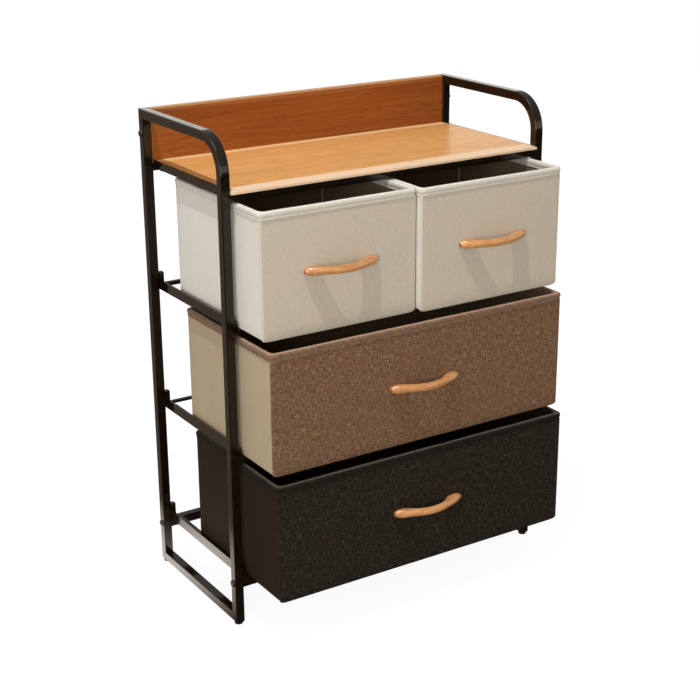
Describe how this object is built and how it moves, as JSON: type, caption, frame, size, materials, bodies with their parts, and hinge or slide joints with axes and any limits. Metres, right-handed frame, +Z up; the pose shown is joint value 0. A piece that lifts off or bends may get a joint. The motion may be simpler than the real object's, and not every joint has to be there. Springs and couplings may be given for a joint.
{
  "type": "chest of drawers",
  "caption": "Narrow steel-framed dresser with a wood shelf and backboard on top and fabric drawers with bowed wooden handles, shown pulled part-way out.",
  "frame": {"origin": "on the floor under the middle of the whole unit's box, drawers as shown", "axes": "+Z up, -Y out of the drawers' fronts, +X to the right as seen from the front"},
  "size_m": [0.6056, 0.4042, 0.7965],
  "materials": {
    "frame_steel": "dark bronze-black gloss paint",
    "foot_plastic": "black moulded plastic",
    "shelf_wood": "orange-tan wood grain, semi-gloss",
    "backboard_wood": "red-brown wood grain, semi-gloss",
    "handle_wood": "oiled orange beech",
    "screw_steel": "zinc plated",
    "fibreboard": "raw brown fibreboard",
    "oatmeal_linen": "pale slubbed linen",
    "oatmeal_binding": "pale woven binding",
    "brown_linen": "brown slubbed linen",
    "brown_binding": "brown woven binding",
    "charcoal_linen": "charcoal slubbed linen",
    "charcoal_binding": "dark grey-brown woven binding"
  },
  "bodies": {
    "frame": {"backboard": "backboard_wood", "bottom_tier_front_tube": "frame_steel", "bottom_tier_rear_tube": "frame_steel", "frame_bolts": "frame_steel", "left_back_post": "frame_steel", "left_bottom_rail": "frame_steel", "left_front_post_and_top_rail": "frame_steel", "left_guide_bottom": "frame_steel", "left_guide_middle": "frame_steel", "left_guide_top": "frame_steel", "left_shelf_rail": "frame_steel", "middle_tier_front_bar": "frame_steel", "middle_tier_rear_bar": "frame_steel", "rear_brackets": "frame_steel", "right_back_post": "frame_steel", "right_bottom_rail": "frame_steel", "right_front_post_and_top_rail": "frame_steel", "right_guide_bottom": "frame_steel", "right_guide_middle": "frame_steel", "right_guide_top": "frame_steel", "right_shelf_rail": "frame_steel", "shelf_board": "shelf_wood", "shelf_front_rail": "frame_steel", "shelf_rail_bolts": "frame_steel", "shelf_rear_rail": "frame_steel", "top_tier_centre_runner": "frame_steel", "top_tier_front_bar": "frame_steel", "top_tier_rear_bar": "frame_steel"},
    "top_left_drawer": {"top_left_drawer_bottom_board": "fibreboard", "top_left_drawer_cover": "oatmeal_linen", "top_left_drawer_front_board": "fibreboard", "top_left_drawer_handle": "handle_wood", "top_left_drawer_handle_screws": "screw_steel", "top_left_drawer_rim": "oatmeal_binding", "top_left_drawer_wall_boards": "fibreboard"},
    "top_right_drawer": {"top_right_drawer_bottom_board": "fibreboard", "top_right_drawer_cover": "oatmeal_linen", "top_right_drawer_front_board": "fibreboard", "top_right_drawer_handle": "handle_wood", "top_right_drawer_handle_screws": "screw_steel", "top_right_drawer_rim": "oatmeal_binding", "top_right_drawer_wall_boards": "fibreboard"},
    "middle_drawer": {"middle_drawer_bottom_board": "fibreboard", "middle_drawer_cover": "brown_linen", "middle_drawer_front_board": "fibreboard", "middle_drawer_handle": "handle_wood", "middle_drawer_handle_screws": "screw_steel", "middle_drawer_rim": "brown_binding", "middle_drawer_wall_boards": "fibreboard"},
    "bottom_drawer": {"bottom_drawer_bottom_board": "fibreboard", "bottom_drawer_cover": "charcoal_linen", "bottom_drawer_front_board": "fibreboard", "bottom_drawer_handle": "handle_wood", "bottom_drawer_handle_screws": "screw_steel", "bottom_drawer_rim": "charcoal_binding", "bottom_drawer_wall_boards": "fibreboard"},
    "left_front_foot_leveller": {"left_front_foot": "foot_plastic"},
    "left_back_foot_leveller": {"left_back_foot": "foot_plastic"},
    "right_front_foot_leveller": {"right_front_foot": "foot_plastic"},
    "right_back_foot_leveller": {"right_back_foot": "foot_plastic"}
  },
  "joints": [
    {"name": "top_left_drawer_slide", "type": "slide", "parent": "frame", "child": "top_left_drawer", "axis": [0, -1, 0], "range_m": [-0.0634, 0.1266]},
    {"name": "top_right_drawer_slide", "type": "slide", "parent": "frame", "child": "top_right_drawer", "axis": [0, -1, 0], "range_m": [-0.0723, 0.1177]},
    {"name": "middle_drawer_slide", "type": "slide", "parent": "frame", "child": "middle_drawer", "axis": [0, -1, 0], "range_m": [-0.0857, 0.1043]},
    {"name": "bottom_drawer_slide", "type": "slide", "parent": "frame", "child": "bottom_drawer", "axis": [0, -1, 0], "range_m": [-0.0982, 0.0918]},
    {"name": "left_front_foot_screw", "type": "slide", "parent": "frame", "child": "left_front_foot_leveller", "axis": [0, 0, -1], "range_m": [0, 0.006]},
    {"name": "left_back_foot_screw", "type": "slide", "parent": "frame", "child": "left_back_foot_leveller", "axis": [0, 0, -1], "range_m": [0, 0.006]},
    {"name": "right_front_foot_screw", "type": "slide", "parent": "frame", "child": "right_front_foot_leveller", "axis": [0, 0, -1], "range_m": [0, 0.006]},
    {"name": "right_back_foot_screw", "type": "slide", "parent": "frame", "child": "right_back_foot_leveller", "axis": [0, 0, -1], "range_m": [0, 0.006]}
  ]
}
